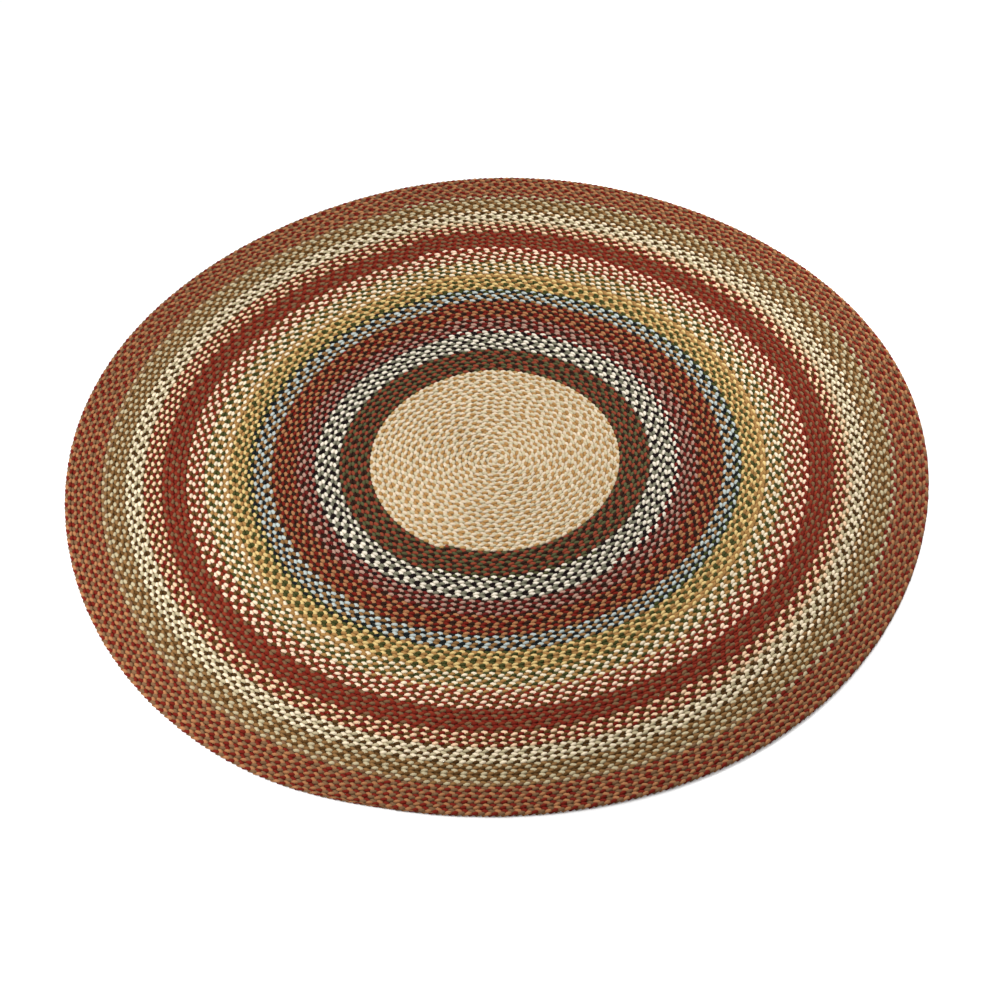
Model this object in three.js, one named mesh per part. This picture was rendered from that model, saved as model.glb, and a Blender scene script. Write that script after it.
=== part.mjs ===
// A round braided rug, 6 ft across: one flat three-strand braid, coiled from the middle outwards
// and laced turn to turn. It is one piece, so it is one solid: a flat disc whose top is raised along
// every turn of the braid, with a rounded rim, and whose underside lies flat.
// Millimetres, +Z up. The origin is the middle of the underside.
import * as THREE from "three";

// Driving dimensions.
const RUG_RADIUS = 914.4; // the mean one, as the outer turn moves out by a braid's width
const TURNS = 70; // of the braid, from the middle to its tail on the rim
const THICKNESS = 9; // of the braid, lying flat
const GROOVE_DEPTH = 2.8; // between one turn and the next
const TAIL_ANGLE = 262; // degrees from +X: where the tail of the braid ends on the rim
const TAIL_LENGTH = 430; // over which the braid narrows to nothing

// The rim, as shares of the braid's width and thickness.
const SHOULDER_INSET = 0.14; // of the shoulder from the widest line
const SHOULDER_HEIGHT = 0.8;
const WIDEST_HEIGHT = 0.45;
const FOOT_INSET = 0.22; // of the underside's edge from the widest line

// The rug isn't a true circle: it was laced by hand, and wanders in and out.
const WANDER = 3.6; // at the rim, each way
const WANDER_WAVES = 5;
const WANDER_PEAK = 15; // degrees from +X, of one outward wave

// One turn has points in proportion to the root of its number, so every chord strays as little.
const POINTS_PER_ROOT_TURN = 6.2;
const LEAST_POINTS = 8;
const RIM_POINTS = 72;

// The rings of colour, from the middle outwards. until is the turn where a ring ends, and colour is
// the mean of its three strands.
const RINGS = [
  { name: "tan", until: 20, colour: "#c6ae8b" },
  { name: "brown", until: 25, colour: "#5c3e2b" },
  { name: "black and white", until: 29.6, colour: "#867e70" },
  { name: "burgundy", until: 32.4, colour: "#6d463b" },
  { name: "rust", until: 36.5, colour: "#71432f" },
  { name: "blue", until: 39.5, colour: "#7a7061" },
  { name: "gold", until: 43.4, colour: "#987e4d" },
  { name: "cream and green", until: 47.4, colour: "#9e8e6b" },
  { name: "cream and red", until: 50.4, colour: "#9e765d" },
  { name: "red", until: 54.4, colour: "#793b27" },
  { name: "cream, red and olive", until: 57.2, colour: "#976c50" },
  { name: "cream and brown", until: 60.5, colour: "#a39070" },
  { name: "olive brown", until: 64, colour: "#88714f" },
  { name: "outer red and olive", until: TURNS, colour: "#81513a" },
];

const braidWidth = RUG_RADIUS / (TURNS + 0.5);
const shoulderInset = SHOULDER_INSET * braidWidth;
const shoulderHeight = SHOULDER_HEIGHT * THICKNESS;
const tailTurns = TAIL_LENGTH / (2 * Math.PI * RUG_RADIUS);

// The coil's width at a place, given in turns: 1 along the braid, easing to 0 at the tail's end.
function widthShare(turn) {
  return THREE.MathUtils.smoothstep(TURNS - turn, 0, tailTurns);
}

// The radius of the line between the turn that starts here and the one inside it. Past the last
// turn it goes once more round, as the rim's shoulder, to meet itself at the tail's end.
function edgeRadius(turn) {
  if (turn >= TURNS) {
    return braidWidth * (turn - 1 + widthShare(turn - 1)) - shoulderInset;
  }
  return braidWidth * turn - shoulderInset * (1 - widthShare(turn));
}

function edgeHeight(turn) {
  return turn >= TURNS ? shoulderHeight : THICKNESS - GROOVE_DEPTH;
}

// The middle line of a turn, where the braid is thickest.
function crestRadius(turn) {
  return edgeRadius(turn) + (braidWidth * widthShare(turn)) / 2;
}

function crestHeight(turn) {
  return THREE.MathUtils.lerp(shoulderHeight, THICKNESS, widthShare(turn));
}

// How many turns lie between neighbouring points at a place along the coil.
function pointSpacing(turn) {
  if (turn >= TURNS - 1) {
    return 1 / RIM_POINTS;
  }
  return 1 / Math.max(LEAST_POINTS, POINTS_PER_ROOT_TURN * Math.sqrt(turn));
}

// Places from one turn up to another, without the last.
function placesAlong(start, end) {
  const places = [];
  for (let turn = start; turn < end - pointSpacing(end) / 2; turn += pointSpacing(turn)) {
    places.push(turn);
  }
  return places;
}

// The rug's points, their colours and its triangles, as flat lists for a BufferGeometry.
const rug = { points: [], colours: [], triangles: [] };

function addPoint(turn, radius, height) {
  const angle = THREE.MathUtils.degToRad(TAIL_ANGLE) + 2 * Math.PI * turn;
  const wave = Math.cos(WANDER_WAVES * (angle - THREE.MathUtils.degToRad(WANDER_PEAK)));
  const reach = radius + WANDER * wave * (radius / RUG_RADIUS) ** 2;
  const ring = RINGS.find(({ until }) => turn < until) ?? RINGS.at(-1);
  rug.points.push(reach * Math.cos(angle), reach * Math.sin(angle), height);
  rug.colours.push(...new THREE.Color(ring.colour).toArray());
  return rug.points.length / 3 - 1;
}

// A rail is a line of points along the coil: the place of each one, in turns, and its number.
function rail(places, radiusAt, heightAt) {
  return places.map((turn) => ({
    turn,
    point: addPoint(turn, radiusAt(turn), heightAt(turn)),
  }));
}

function addTriangle(a, b, c) {
  if (a !== b && b !== c && c !== a) {
    rug.triangles.push(a, b, c);
  }
}

// Fills the strip between two rails that wind the same way. The outer rail may be lag turns ahead.
function fillStrip(inner, outer, lag = 0) {
  let i = 0;
  let j = 0;
  while (i < inner.length - 1 || j < outer.length - 1) {
    const nextInner = inner[i + 1]?.turn ?? Infinity;
    const nextOuter = (outer[j + 1]?.turn ?? Infinity) - lag;
    if (nextInner <= nextOuter) {
      addTriangle(inner[i].point, outer[j].point, inner[i + 1].point);
      i += 1;
    } else {
      addTriangle(inner[i].point, outer[j].point, outer[j + 1].point);
      j += 1;
    }
  }
}

function fillUnderside(foot) {
  const middle = addPoint(0, 0, 0);
  for (let i = 0; i < foot.length - 1; i += 1) {
    addTriangle(middle, foot[i + 1].point, foot[i].point);
  }
}

function braidedRugGeometry() {
  // Both rails start at the middle of the rug: the edge with the first turn, and the crest half a
  // turn before it. The crest ends at the tail's end, where the edge has become the rim's shoulder.
  const middle = addPoint(0, 0, THICKNESS);
  const coil = placesAlong(0, TURNS);
  const lastTurn = placesAlong(TURNS, TURNS + 1);
  const shoulder = rail(lastTurn, edgeRadius, edgeHeight);
  const tailEnd = shoulder[0].point;
  shoulder.push({ turn: TURNS + 1, point: tailEnd });
  const edge = [{ turn: 0, point: middle }, ...rail(coil.slice(1), edgeRadius, edgeHeight)];
  const crest = [
    { turn: -0.5, point: middle },
    ...rail([-0.375, -0.25, -0.125, ...coil], crestRadius, crestHeight),
    { turn: TURNS, point: tailEnd },
  ];

  // Each turn rises from its inner edge to its crest, and falls to the edge of the turn outside it.
  fillStrip([...edge, shoulder[0]], crest);
  fillStrip(crest, [...edge, ...shoulder], 1);

  // The rim falls from its shoulder to its widest line, and turns in to the underside.
  const rimLine = (inset, height) => {
    const line = rail(
      lastTurn,
      (turn) => edgeRadius(turn) + shoulderInset - inset,
      () => height,
    );
    return [...line, { turn: TURNS + 1, point: line[0].point }];
  };
  const widest = rimLine(0, WIDEST_HEIGHT * THICKNESS);
  const foot = rimLine(FOOT_INSET * braidWidth, 0);
  fillStrip(shoulder, widest);
  fillStrip(widest, foot);
  fillUnderside(foot);

  const geometry = new THREE.BufferGeometry();
  geometry.setAttribute("position", new THREE.Float32BufferAttribute(rug.points, 3));
  geometry.setAttribute("color", new THREE.Float32BufferAttribute(rug.colours, 3));
  geometry.setIndex(rug.triangles);
  geometry.computeVertexNormals();

  // A coil reaches a little further on one side, so the box's middle is moved to the origin.
  geometry.computeBoundingBox();
  const boxMiddle = geometry.boundingBox.getCenter(new THREE.Vector3());
  geometry.translate(-boxMiddle.x, -boxMiddle.y, 0);
  return geometry;
}

const braidedCloth = new THREE.MeshStandardMaterial({
  vertexColors: true,
  roughness: 0.95,
  metalness: 0,
});
const braidedRug = new THREE.Mesh(braidedRugGeometry(), braidedCloth);
braidedRug.name = "braided_rug";

const part = new THREE.Group();
part.add(braidedRug);

export default part;
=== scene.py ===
# %% [markdown]
# # A round braided rug, strand by strand
# A braided rug is one long flat braid. Three strips of cloth, each folded into a soft strand, are braided
# together, and the braid is coiled from the middle outwards and laced turn to turn. Every so often a strip
# ends and one of another colour is sewn to it, so the rug grows in rings of colour. Here every strip of cloth
# is modelled as the strand it is, so each visible pad of the braid is real geometry. A plain disc with a
# braid drawn on it would be much lighter, but it would look flat at its rim and in any low view.

import math

import bpy
import numpy as np
from mathutils import Matrix, Vector


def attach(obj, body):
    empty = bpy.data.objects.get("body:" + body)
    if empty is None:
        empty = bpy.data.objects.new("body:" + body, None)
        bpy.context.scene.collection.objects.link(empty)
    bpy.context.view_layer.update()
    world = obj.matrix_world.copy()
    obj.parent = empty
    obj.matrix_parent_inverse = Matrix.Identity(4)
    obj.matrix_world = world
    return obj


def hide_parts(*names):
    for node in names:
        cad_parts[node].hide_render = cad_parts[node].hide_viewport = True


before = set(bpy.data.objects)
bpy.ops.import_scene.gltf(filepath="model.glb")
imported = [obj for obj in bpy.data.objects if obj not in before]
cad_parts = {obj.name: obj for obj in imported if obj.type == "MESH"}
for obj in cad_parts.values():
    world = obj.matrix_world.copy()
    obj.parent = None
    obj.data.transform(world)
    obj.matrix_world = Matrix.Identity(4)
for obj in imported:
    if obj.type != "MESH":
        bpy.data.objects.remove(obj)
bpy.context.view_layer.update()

# %% [markdown]
# ## Camera
# The rug lies on the floor and is seen from above its near edge, with a fairly long lens, so that the circle
# shows as an ellipse with little perspective. The camera is turned by a couple of degrees about its own line
# of sight. It is placed by the point it looks at, the height of its view and its distance.

# %% Place the camera
VIEW_TARGET = Vector((0.0061, -0.1247, 0.006))
VIEW_ELEVATION = math.radians(48.24)
VIEW_DISTANCE = 4.7435
VIEW_ROLL = math.radians(-2.688)

camera_data = bpy.data.cameras.new("camera")
camera_data.lens = 81.53
camera_data.sensor_width = 36
camera = bpy.data.objects.new("camera", camera_data)
bpy.context.scene.collection.objects.link(camera)
back = Vector((0, -math.cos(VIEW_ELEVATION), math.sin(VIEW_ELEVATION)))
camera.matrix_world = (
    Matrix.Translation(VIEW_TARGET + back * VIEW_DISTANCE)
    @ Matrix.Rotation(math.radians(90) - VIEW_ELEVATION, 4, "X")
    @ Matrix.Rotation(VIEW_ROLL, 4, "Z")
)
bpy.context.scene.camera = camera
print("Camera at", tuple(round(v, 3) for v in camera.matrix_world.translation))

# %% [markdown]
# ## Where the braid runs
# The middle line of the braid is a spiral: each turn is one braid's width further out, so its radius grows
# evenly with the turn number and its length with the square of it. That lets us go from a length of braid to
# its place with one square root, and lay the strands out by length, as they were braided. The last stretch
# is thinned almost to nothing and tucked against the turn inside it, which brings the rim back to a circle.
#
# The coil was laced by hand, so it wanders a little in and out. Nor is it quite an even spiral: the maker kept
# the outer rows round, and let the braid step out to the next row in one short stretch, always on the same
# side of the rug. So the rings of colour look like circles there, with a small step.

# %% Lay out the coil
RUG_RADIUS = 0.9144
TURNS = 70
THICKNESS = 0.009
TAIL_ANGLE = math.radians(262)
TAIL_LENGTH = 0.43
SHOULDER_INSET = 0.14  # of a braid's width, by which the thinned tail is tucked in
WANDER = 0.0036
WANDER_WAVES = 5
WANDER_PEAK = math.radians(15)
STEP_ANGLE = math.radians(60)
STEP_SHARE = 0.125  # of a turn, over which the braid steps out to the next row
ROUND_ROWS = [(0, 0), (20, 0.4), (46, 1), (58, 1), (TURNS, 0.2)]  # turn, and how round its row was kept

braid_width = RUG_RADIUS / (TURNS + 0.5)
tail_turns = TAIL_LENGTH / (2 * math.pi * RUG_RADIUS)


def width_share(turn):
    """The braid's width at a place, given in turns: 1, easing to 0 at the tail's end."""
    left = np.clip((TURNS - turn) / tail_turns, 0, 1)
    return left * left * (3 - 2 * left)


def length_at(turn):
    """The length of braid from the middle of the rug to a place."""
    return math.pi * braid_width * (turn + 0.5) ** 2


def turn_at(length):
    return np.sqrt(length / (math.pi * braid_width)) - 0.5


print(f"{length_at(TURNS):.1f} m of braid, {braid_width * 1000:.2f} mm wide")


# %% Find places beside the braid's middle line
def step_out(angle):
    """How far a round row lies outside an even spiral, in braid widths."""
    since = ((angle - STEP_ANGLE) / (2 * math.pi)) % 1
    step = np.clip(since / STEP_SHARE, 0, 1)
    return step * step * (3 - 2 * step) - since - (1 - STEP_SHARE) / 2


def place(length, offset, height):
    """Points beside the braid's middle line: offset outwards, and above the floor."""
    turn = turn_at(length)
    share = width_share(turn)
    inset = SHOULDER_INSET * braid_width * (1 - share)
    angle = TAIL_ANGLE + 2 * math.pi * turn
    rounding = np.interp(turn, *zip(*ROUND_ROWS)) * step_out(angle)
    radius = braid_width * (turn + share / 2 + rounding) - inset + offset
    wave = np.cos(WANDER_WAVES * (angle - WANDER_PEAK))
    reach = radius + WANDER * wave * (radius / RUG_RADIUS) ** 2
    return np.stack([reach * np.cos(angle), reach * np.sin(angle), height], axis=-1)


RIM_PLACES = 2000
last_turn = length_at(np.linspace(TURNS - 1, TURNS, RIM_PLACES))
rim = place(last_turn, braid_width / 2 * width_share(turn_at(last_turn)), np.zeros(RIM_PLACES))
coil_middle = (rim.min(axis=0) + rim.max(axis=0)) / 2
print("The rug is", (np.ptp(rim, axis=0)[:2] * 1000).round(1), "mm across")

# %% [markdown]
# ## The three strands
# In a flat braid each strand swings from side to side once in a repeat, and rises and dips twice: it comes
# up at one edge, slants inwards over the top, and goes down and underneath to the other edge. That is a
# figure of eight in the braid's cross-section, and the three strands follow it a third of a repeat apart.
# What shows from above is a row of slanting pads on each side of the braid, like an ear of wheat. The strand
# is a strip folded flat, so it is wider than it is thick. Six places along a repeat and five corners round
# the strip are enough, because smooth shading rounds the rest, and the rug has some five thousand repeats.

# %% Describe one strand
STRANDS = 3
REPEAT = 0.0378
SWING = 0.0029
RISE = 0.0021
STRAND_HALF_WIDTH = 0.0043
STRAND_HALF_HEIGHT = THICKNESS / 2 - RISE

# Half a repeat: how far along, as degrees of a full repeat, how far out, how high and how wide. The strand is
# low at the edge, where it spreads under its neighbours, a pad starts at the edge, and it ends further in. The
# other half is the same on the other side.
HALF_SWING = np.array([(45, 1.0, -1, 1.2), (108, 1.02, 1, 1), (160, 0.55, 0.8, 1)])

# The section's corners, across and up, from the underside round: flat below and crowned above.
SECTION = np.array([(-0.55, -1), (-1, -0.1), (0, 1), (1, -0.1), (0.55, -1)])
corners = SECTION * (STRAND_HALF_WIDTH, STRAND_HALF_HEIGHT)
around = np.cumsum(np.append(0, np.hypot(*(np.roll(corners, -1, axis=0) - corners).T)))
print(f"The strand is {around[-1] * 1000:.1f} mm round")

# %% Pull the braid unevenly
# A braider's pull is never even, so the repeat is a little longer here and shorter there.
PULL = 0.02
PULL_LENGTH = 0.9
PULL_LIMIT = 2  # how far the pull strays at most, as a multiple of PULL
PULL_SEED = 11
FINE_STEP = 0.01
SPLICE_TUCK = 1 / 6  # of a repeat, by which a strand runs on under the one that takes its place
knots = np.arange(0, length_at(TURNS) + 2 * PULL_LENGTH, PULL_LENGTH)
pull_at_knots = np.random.default_rng(PULL_SEED).normal(size=len(knots))
pull_at_knots = PULL * pull_at_knots.clip(-PULL_LIMIT, PULL_LIMIT)
fine = np.arange(0, length_at(TURNS) + PULL_LENGTH, FINE_STEP)
repeats_at_fine = np.cumsum(FINE_STEP / REPEAT * (1 + np.interp(fine, knots, pull_at_knots)))


def strand_line(strand, start_turn, end_turn):
    """A strand's own places from one turn to another: the length, and how far out, how high and how wide."""
    spans = [np.interp(length_at(turn), fine, repeats_at_fine) for turn in (start_turn, end_turn)]
    first, last = (span + strand / STRANDS for span in spans)
    halves = np.arange(math.floor(2 * first), math.ceil(2 * last) + 1)
    repeats = (halves[:, None] / 2 + HALF_SWING[None, :, 0] / 360).ravel()
    side = np.where(halves % 2 == 0, 1, -1).repeat(len(HALF_SWING))
    out, high, wide = np.tile(HALF_SWING[:, 1:], (len(halves), 1)).T
    kept = (repeats >= first) & (repeats <= last + SPLICE_TUCK)
    length = np.interp(repeats[kept] - strand / STRANDS, repeats_at_fine, fine)
    return length, (side * out)[kept] * SWING, high[kept] * RISE, wide[kept]


print(f"{repeats_at_fine[-1]:.0f} repeats of the braid")


# %% Wrap the strip round a strand's line
# The first few centimetres are folded wider, to close the middle of the coil.
MIDDLE_FOLD = 1.5
MIDDLE_LENGTH = 0.025
# Hand-folded strips are never even: from pad to pad the strand is fuller, further along or further out.
PAD_FULLNESS = 0.06
PAD_SHIFT = 0.0005
PAD_REACH = 0.06
PAD_LIMIT = 1.6  # how far a pad strays at most, as a multiple of these
PLACES_PER_PAD = len(HALF_SWING)
# The tail keeps a little of its width, and more than half of its thickness, to its very end.
TAIL_WIDTH = 0.12
TAIL_THICKNESS = 0.55
FIRST_PLACE = 1e-5  # the least length along the braid that a corner may lie at


def strand_points(strand, start_turn, end_turn, seed):
    """The strand's corners at each of its places, and how far along the strip each place is."""
    length, swing, rise, fullness = strand_line(strand, start_turn, end_turn)

    count = len(length)
    pads = np.random.default_rng(seed).normal(size=(3, count // PLACES_PER_PAD + 2))
    full, late, far = (
        np.interp(np.arange(count), np.arange(len(row)) * PLACES_PER_PAD, row)
        for row in pads.clip(-PAD_LIMIT, PAD_LIMIT)
    )
    middle_fold = 1 + MIDDLE_FOLD * np.exp(-((length / MIDDLE_LENGTH) ** 2))
    fullness = fullness * (1 + PAD_FULLNESS * full) * middle_fold
    length = length + PAD_SHIFT * late
    swing = swing * (1 + PAD_REACH * far)

    slope = np.gradient(swing, length)
    slant = np.sqrt(1 + slope**2)
    share = np.maximum(width_share(turn_at(length)), TAIL_WIDTH)
    low = TAIL_THICKNESS + (1 - TAIL_THICKNESS) * share

    points = np.empty((count, len(SECTION), 3))
    for corner, (across, up) in enumerate(SECTION):
        reach = across * STRAND_HALF_WIDTH * fullness * share / slant
        points[:, corner] = place(
            np.maximum(length - reach * slope, FIRST_PLACE),
            swing * share + reach,
            THICKNESS / 2 + (rise + up * STRAND_HALF_HEIGHT) * low,
        )
    points[..., :2] -= coil_middle[:2]
    steps = np.linalg.norm(np.diff(points.mean(axis=1), axis=0), axis=1)
    return points, np.append(0, np.cumsum(steps))


# %% [markdown]
# A strand's mesh is a tube of four-cornered faces with a cap at each end. It carries two layouts. The first
# says where each point is on the strip of cloth, in metres along it and round it, so that the weave and the
# creases follow the strip. The second is for baking the finish into a picture: the strip is cut into
# short lengths that are stacked like shelves, and its two ends lie on top.

# %% Make a strand's mesh
def strand_mesh(name, points, along):
    """A closed tube through the strand's corners."""
    count, sides = points.shape[:2]
    start = np.arange(count - 1)[:, None] * sides
    corner = np.arange(sides)[None, :]
    after = (corner + 1) % sides
    quads = np.stack(
        [start + corner, start + sides + corner, start + sides + after, start + after], axis=-1
    )
    caps = np.array([np.arange(sides), (count - 1) * sides + np.arange(sides)[::-1]])
    loops = np.concatenate([quads.ravel(), caps.ravel()]).astype(np.int32)
    loop_starts = np.append(np.arange(quads.size // 4) * 4, [quads.size, quads.size + sides])
    loop_starts = loop_starts.astype(np.int32)

    mesh = bpy.data.meshes.new(name)
    mesh.vertices.add(count * sides)
    mesh.vertices.foreach_set("co", points.astype(np.float32).ravel())
    mesh.loops.add(len(loops))
    mesh.loops.foreach_set("vertex_index", loops)
    mesh.polygons.add(len(loop_starts))
    mesh.polygons.foreach_set("loop_start", loop_starts)
    mesh.update(calc_edges=True)
    mesh.polygons.foreach_set("use_smooth", np.ones(len(loop_starts), dtype=bool))
    mesh.validate()

    strip = np.zeros((count, sides, 3), dtype=np.float32)
    strip[..., 0] = along[:, None]
    strip[..., 1] = around[:-1]
    mesh.attributes.new("strip", "FLOAT_VECTOR", "POINT").data.foreach_set("vector", strip.ravel())
    layout = bake_layout(count, along[-1])
    mesh.uv_layers.new(name="OFBake").uv.foreach_set("vector", layout.ravel())
    return mesh


def bake_layout(count, strip_length):
    """A place in the unit square for each corner of each face."""
    sides = len(SECTION)
    shelves = round(math.sqrt(strip_length / around[-1])) + 1
    on_shelf = math.ceil((count - 1) / shelves)
    face = np.arange(count - 1)[:, None, None]
    side = np.arange(sides)[None, :, None]
    u = (face % on_shelf + np.array([0, 1, 1, 0])) / on_shelf + 0 * side
    v = (face // on_shelf + (side + np.array([0, 0, 1, 1])) / sides) / (shelves + 1)
    quads = np.stack([u, v], axis=-1).reshape(-1, 2)
    # The two ends lie side by side on the top shelf.
    cap = np.array([0.3, shelves + 0.5]) + SECTION * (0.2, 0.4)
    caps = np.concatenate([cap, (cap + (0.5, 0))[::-1]]) / (1, shelves + 1)
    return np.concatenate([quads, caps]).astype(np.float32)


# %% [markdown]
# ## The cloth
# The strips are wool coating: woven in a twill, fulled until its face felts over, dyed, then cut into strips
# and folded with the raw edges inside. What that gives the eye is a dull, soft surface with no highlight. Its
# fuzz scatters the light, and the little sheen that it has takes the colour of the dye. Wool's IOR is 1.54,
# but the fuzz hides most of that reflection, so the specular level is low.
#
# Five things vary the colour, each at its own size. The dye drifts from lighter to darker over a hand's
# breadth. One pad catches more dye than its neighbour. The folded strip creases along its length. The
# twill shows as slanting ribs, and fibres clump. On top of that, the hollows between the pads are painted
# darker than their crowns. That is painted shade, and it is what makes the pads stand out.

# %% A helper for nodes and one for colours
def linear(hex_colour, share=1.0):
    """An sRGB hex colour, or a darker or lighter share of it, as Blender's linear colour."""
    channels = [int(hex_colour[i : i + 2], 16) / 255 for i in (1, 3, 5)]
    straight = [c / 12.92 if c <= 0.04045 else ((c + 0.055) / 1.055) ** 2.4 for c in channels]
    return [share * c for c in straight] + [1]


def add_node(tree, kind, settings=None, inputs=None):
    """Adds a node, with its settings and its inputs: each a value, or another node's output."""
    node = tree.nodes.new(kind)
    for key, value in (settings or {}).items():
        setattr(node, key, value)
    for key, value in (inputs or {}).items():
        if isinstance(value, bpy.types.NodeSocket):
            tree.links.new(value, node.inputs[key])
        else:
            node.inputs[key].default_value = value
    return node


# %% Say how fine the cloth is, in metres
DYE_DRIFT = 0.18
PAD_LENGTH = REPEAT / STRANDS
CREASE_LENGTH = 0.016
CREASE_SPACING = 0.0026
# The ribs of such a twill are 0.8 mm apart and its fibres clump at 0.4 mm. Both are too fine to show when
# the whole rug is in view, so they are drawn three times as coarse.
RIB_SPACING = 3 * 0.0008
FIBRE_CLUMP = 3 * 0.0004
# Heights above the floor between which the painted shade fades, from full in the hollows to none on the
# crowns.
HOLLOW = 0.0030
CROWN = 0.0086
# The tint that the cloth is multiplied by in the hollows between the pads: painted shade.
HOLLOW_SHADE_TINT = "#cdc3b0"
MIDDLE_SHADE_TINT = "#e6dfd2"  # the rows of the pale middle stand out less, so its hollows get a paler painted shade
NOISE_SIZE = 0.5  # how wide a blot of the noise texture is at scale 1
RIB_SIZE = 0.444  # how far apart the wave texture's slanting bands are at scale 1
NOISE_SHIFT = 7.3  # between the noise of one strand and the next, so that no two are alike
# The sum of the five patterns that gives the darkest shade of the dye, and the palest.
DARKEST = 1.2
PALEST = 2.45


# %% Make the cloth's material
def strand_cloth(name, colour, shade_tint, seed):
    """Fulled wool twill of one colour."""
    material = bpy.data.materials.new(name)
    material.use_nodes = True
    tree = material.node_tree
    tree.nodes.clear()
    spot = add_node(tree, "ShaderNodeTexCoord").outputs["Object"]
    strip = add_node(tree, "ShaderNodeAttribute", {"attribute_name": "strip"}).outputs["Vector"]
    stretched = add_node(
        tree,
        "ShaderNodeMapping",
        None,
        {"Vector": strip, "Scale": (CREASE_SPACING / CREASE_LENGTH, 1, 1)},
    ).outputs["Vector"]

    ribs = add_node(
        tree,
        "ShaderNodeTexWave",
        {"bands_direction": "DIAGONAL"},
        {"Vector": strip, "Scale": RIB_SIZE / RIB_SPACING, "Distortion": 1.5, "Detail": 1},
    ).outputs["Fac"]

    # The tone is the sum of five patterns, each with its own weight: the ribs, the drift of the dye, the
    # shade of each pad, the creases along the strip, and the fibres.
    tone = add_node(tree, "ShaderNodeMath", {"operation": "MULTIPLY"}, {0: ribs, 1: 0.15}).outputs[0]
    for places, size, detail, weight in (
        (spot, DYE_DRIFT, 2, 0.9),
        (spot, PAD_LENGTH, 1, 1.2),
        (stretched, CREASE_SPACING, 1, 0.9),
        (spot, FIBRE_CLUMP, 2, 0.5),
    ):
        pattern = add_node(
            tree,
            "ShaderNodeTexNoise",
            {"noise_dimensions": "4D"},
            {"Vector": places, "W": NOISE_SHIFT * seed, "Scale": NOISE_SIZE / size, "Detail": detail},
        ).outputs["Fac"]
        if places is stretched:
            creases = pattern
        tone = add_node(
            tree, "ShaderNodeMath", {"operation": "MULTIPLY_ADD"}, {0: pattern, 1: weight, 2: tone}
        ).outputs[0]
    fibres = pattern
    tone = add_node(
        tree, "ShaderNodeMapRange", None, {"Value": tone, "From Min": DARKEST, "From Max": PALEST}
    ).outputs["Result"]

    # The dye runs from a fifth darker than its own colour to a fifth lighter. The Mix node's colours are its
    # inputs 6 and 7, and its mixed colour is output 2.
    dyed = add_node(
        tree,
        "ShaderNodeMix",
        {"data_type": "RGBA"},
        {0: tone, 6: linear(colour, 0.8), 7: linear(colour, 1.2)},
    ).outputs[2]
    # Painted shade: the dye is multiplied by a darker tint in the hollows between the pads, fading to none on
    # their crowns.
    height = add_node(tree, "ShaderNodeSeparateXYZ", None, {0: spot}).outputs["Z"]
    painted_shade_share = add_node(
        tree,
        "ShaderNodeMapRange",
        None,
        {"Value": height, "From Min": HOLLOW, "From Max": CROWN, "To Min": 1, "To Max": 0},
    ).outputs["Result"]
    painted_shade_dye = add_node(
        tree,
        "ShaderNodeMix",
        {"data_type": "RGBA", "blend_type": "MULTIPLY"},
        {0: painted_shade_share, 6: dyed, 7: linear(shade_tint)},
    ).outputs[2]

    rough = add_node(
        tree, "ShaderNodeMapRange", None, {"Value": fibres, "To Min": 0.82, "To Max": 0.96}
    )
    relief = add_node(
        tree, "ShaderNodeMath", {"operation": "MULTIPLY_ADD"}, {0: ribs, 1: 0.2, 2: creases}
    ).outputs[0]
    bump = add_node(
        tree, "ShaderNodeBump", None, {"Height": relief, "Distance": 0.0009, "Strength": 0.7}
    )
    shader = add_node(
        tree,
        "ShaderNodeBsdfPrincipled",
        None,
        {
            "Base Color": painted_shade_dye,
            "Roughness": rough.outputs["Result"],
            "Normal": bump.outputs["Normal"],
            "IOR": 1.54,
            "Specular IOR Level": 0.05,
            "Sheen Weight": 0.06,
            "Sheen Roughness": 0.5,
            "Sheen Tint": linear(colour),
        },
    )
    add_node(tree, "ShaderNodeOutputMaterial", None, {"Surface": shader.outputs[0]})
    return material


# %% [markdown]
# ## The rings of colour
# A maker dyes a couple of dozen cloths and uses them again and again, so one cloth turns up in several rings.
# The strands of a ring are its three strips of cloth, in the order in which they lie in the braid. A ring
# ends where its strips run out, which isn't at one place: each strand is spliced on its own.

# %% Choose the cloths
CLOTHS = {
    "white": "#d0c8b8",
    "cream": "#d4c6ac",
    "blush": "#dabea6",
    "peach": "#d4b494",
    "linen": "#c4b49c",
    "sand": "#b4a88c",
    "sage": "#a89c7e",
    "ice": "#a2acaa",
    "gold": "#c2a870",
    "honey": "#9a7648",
    "amber": "#946644",
    "toffee": "#926e40",
    "rose": "#9a7a6c",
    "caramel": "#7a5a36",
    "lichen": "#6e6c5c",
    "drab": "#6c5038",
    "olive": "#4a4a30",
    "moss": "#3c3e1e",
    "bark": "#543a1c",
    "walnut": "#442e14",
    "rust": "#7c3a28",
    "brick": "#742a1a",
    "crimson": "#661c12",
    "burgundy": "#5c1c18",
    "umber": "#2c1a12",
    "navy": "#161a1c",
    "black": "#181010",
}

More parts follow.
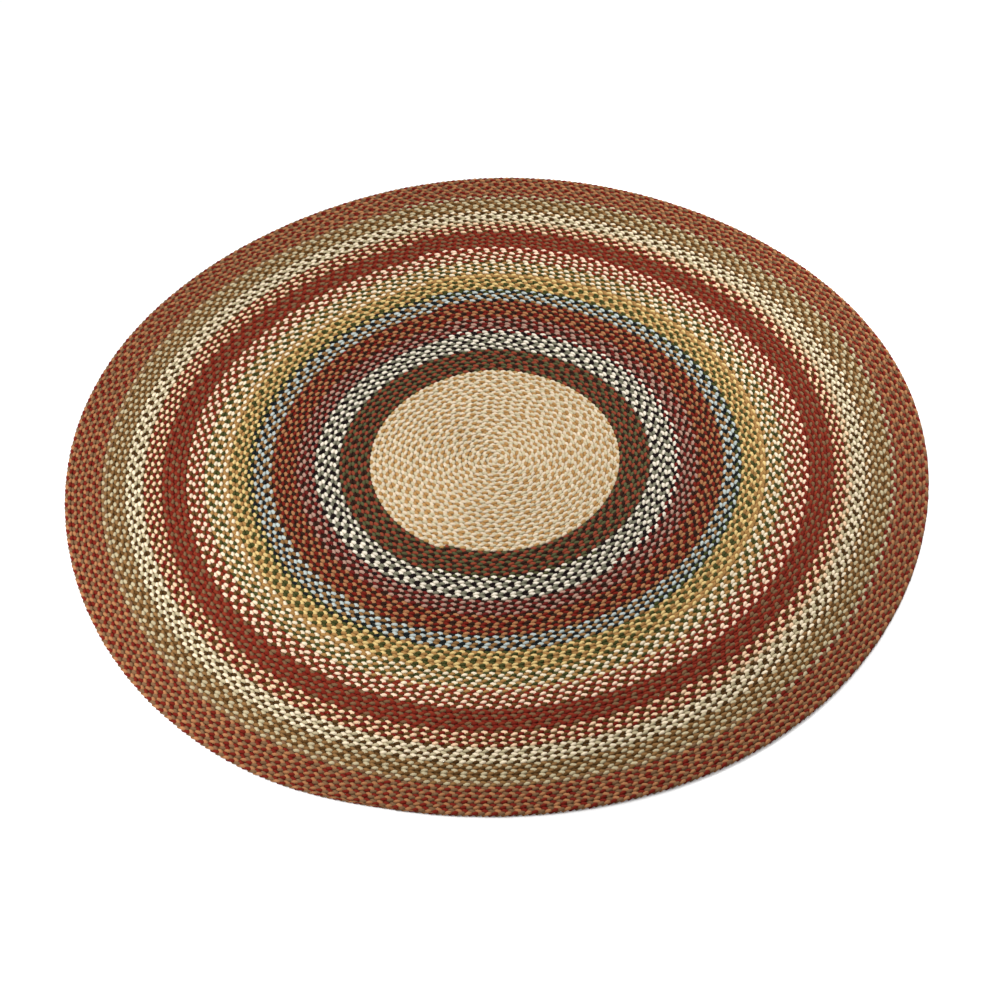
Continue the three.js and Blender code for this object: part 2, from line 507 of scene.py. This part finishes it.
# %% The chart of the rings
# The name of the ring, the turn where each strand ends, and the cloth of each strand.
RINGS = [
    ("tan_ring", (19.95, 19.95, 19.95), ("linen", "sand", "honey")),
    ("brown_ring", (24.95, 24.95, 25.12), ("rust", "umber", "olive")),
    ("black_and_white_ring", (29.56, 29.95, 29.12), ("white", "black", "lichen")),
    ("burgundy_ring", (32.56, 32.95, 32.12), ("rose", "umber", "burgundy")),
    ("rust_ring", (36.56, 36.95, 36.56), ("amber", "umber", "crimson")),
    ("blue_ring", (39.56, 39.95, 39.12), ("ice", "navy", "caramel")),
    ("gold_ring", (43.56, 43.95, 43.12), ("gold", "toffee", "moss")),
    ("cream_and_green_ring", (47.56, 46.95, 47.12), ("cream", "moss", "toffee")),
    ("cream_and_red_ring", (50.56, 50.56, 50.12), ("blush", "brick", "bark")),
    ("red_ring", (54.56, 54.56, 54.12), ("drab", "brick", "crimson")),
    ("cream_red_and_olive_ring", (57.56, 57.56, 57.12), ("peach", "bark", "crimson")),
    ("cream_and_brown_ring", (60.56, 60.56, 60.12), ("cream", "walnut", "sage")),
    ("olive_brown_ring", (64.56, 63.56, 64.12), ("sage", "bark", "caramel")),
    ("outer_ring", (TURNS, TURNS, TURNS), ("amber", "drab", "crimson")),
]

# %% [markdown]
# ## Braiding
# Each strand becomes a piece of its own, from the splice where its ring starts to the one where it ends. Every
# piece stands for a share of the one solid rug.

# %% Braid the rug
MIDDLE_TURN = -0.44  # where the strands start, just beside the middle of the coil
triangles = 0
starts = (MIDDLE_TURN,) * STRANDS
for ring_number, (ring, ends, cloths) in enumerate(RINGS):
    for strand, cloth in enumerate(cloths):
        seed = ring_number * STRANDS + strand + 1
        name = f"{ring}_{cloth}_strand"
        points, along = strand_points(strand, starts[strand], ends[strand], seed)
        mesh = strand_mesh(name, points, along)
        # The pale middle gets a paler tint of painted shade than the other rings.
        shade_tint = MIDDLE_SHADE_TINT if ring_number == 0 else HOLLOW_SHADE_TINT
        finish = strand_cloth(f"{ring}_{cloth}_cloth", CLOTHS[cloth], shade_tint, seed)
        mesh.materials.append(finish)
        piece = bpy.data.objects.new(name, mesh)
        bpy.context.scene.collection.objects.link(piece)
        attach(piece, "root")
        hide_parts("braided_rug")
        triangles += sum(len(p.vertices) - 2 for p in mesh.polygons)
        print(f"{name}: a strip {along[-1]:.1f} m long")
    starts = ends
print(triangles, "triangles in", len(RINGS) * STRANDS, "strands")

# %% [markdown]
# ## Floor and light
# A plain white floor under an even white surround, and two soft lights that face each other across the rug.
# They stand low, so they shade the grooves that run across their beams and light the sides of the pads
# that face them, which makes the rows on those two sides of the rug a little brighter than the rest.

# %% Lay the floor
FLOOR_REACH = 9
floor_mesh = bpy.data.meshes.new("floor")
floor_corners = [(FLOOR_REACH * x, FLOOR_REACH * y, 0) for x, y in ((-1, -1), (1, -1), (1, 1), (-1, 1))]
floor_mesh.from_pydata(floor_corners, [], [(0, 1, 2, 3)])
floor = bpy.data.objects.new("floor", floor_mesh)
bpy.context.scene.collection.objects.link(floor)
floor_paint = bpy.data.materials.new("floor_paint")
floor_paint.use_nodes = True
floor_shader = floor_paint.node_tree.nodes["Principled BSDF"]
floor_shader.inputs["Base Color"].default_value = (0.9, 0.9, 0.9, 1)
floor_shader.inputs["Roughness"].default_value = 0.9
floor_shader.inputs["Specular IOR Level"].default_value = 0.0
floor_mesh.materials.append(floor_paint)
print("The floor is", floor.dimensions[0], "m across")

# %% Hang the lights
SURROUND_STRENGTH = 0.8
world = bpy.data.worlds.new("surround")
bpy.context.scene.world = world
world.use_nodes = True
world.node_tree.nodes["Background"].inputs["Color"].default_value = (1, 1, 1, 1)
world.node_tree.nodes["Background"].inputs["Strength"].default_value = SURROUND_STRENGTH

# name, azimuth in degrees from +X, watts
LIGHTS = [("far_right_light", 38, 58.0), ("near_left_light", 205, 50.0)]
LIGHT_DISTANCE = 2.1
LIGHT_HEIGHT = 1.2
LIGHT_ACROSS = 0.9
for name, azimuth, watts in LIGHTS:
    light_data = bpy.data.lights.new(name, "AREA")
    light_data.shape = "DISK"
    light_data.size = LIGHT_ACROSS
    light_data.energy = watts
    light = bpy.data.objects.new(name, light_data)
    light.visible_camera = False
    bpy.context.scene.collection.objects.link(light)
    turned = math.radians(azimuth)
    light.location = (
        LIGHT_DISTANCE * math.cos(turned),
        LIGHT_DISTANCE * math.sin(turned),
        LIGHT_HEIGHT,
    )
    light.rotation_euler = light.location.to_track_quat("Z", "Y").to_euler()
bpy.context.scene.view_settings.view_transform = "Standard"
print(len(LIGHTS), "lights,", LIGHT_DISTANCE, "m from the middle of the rug")
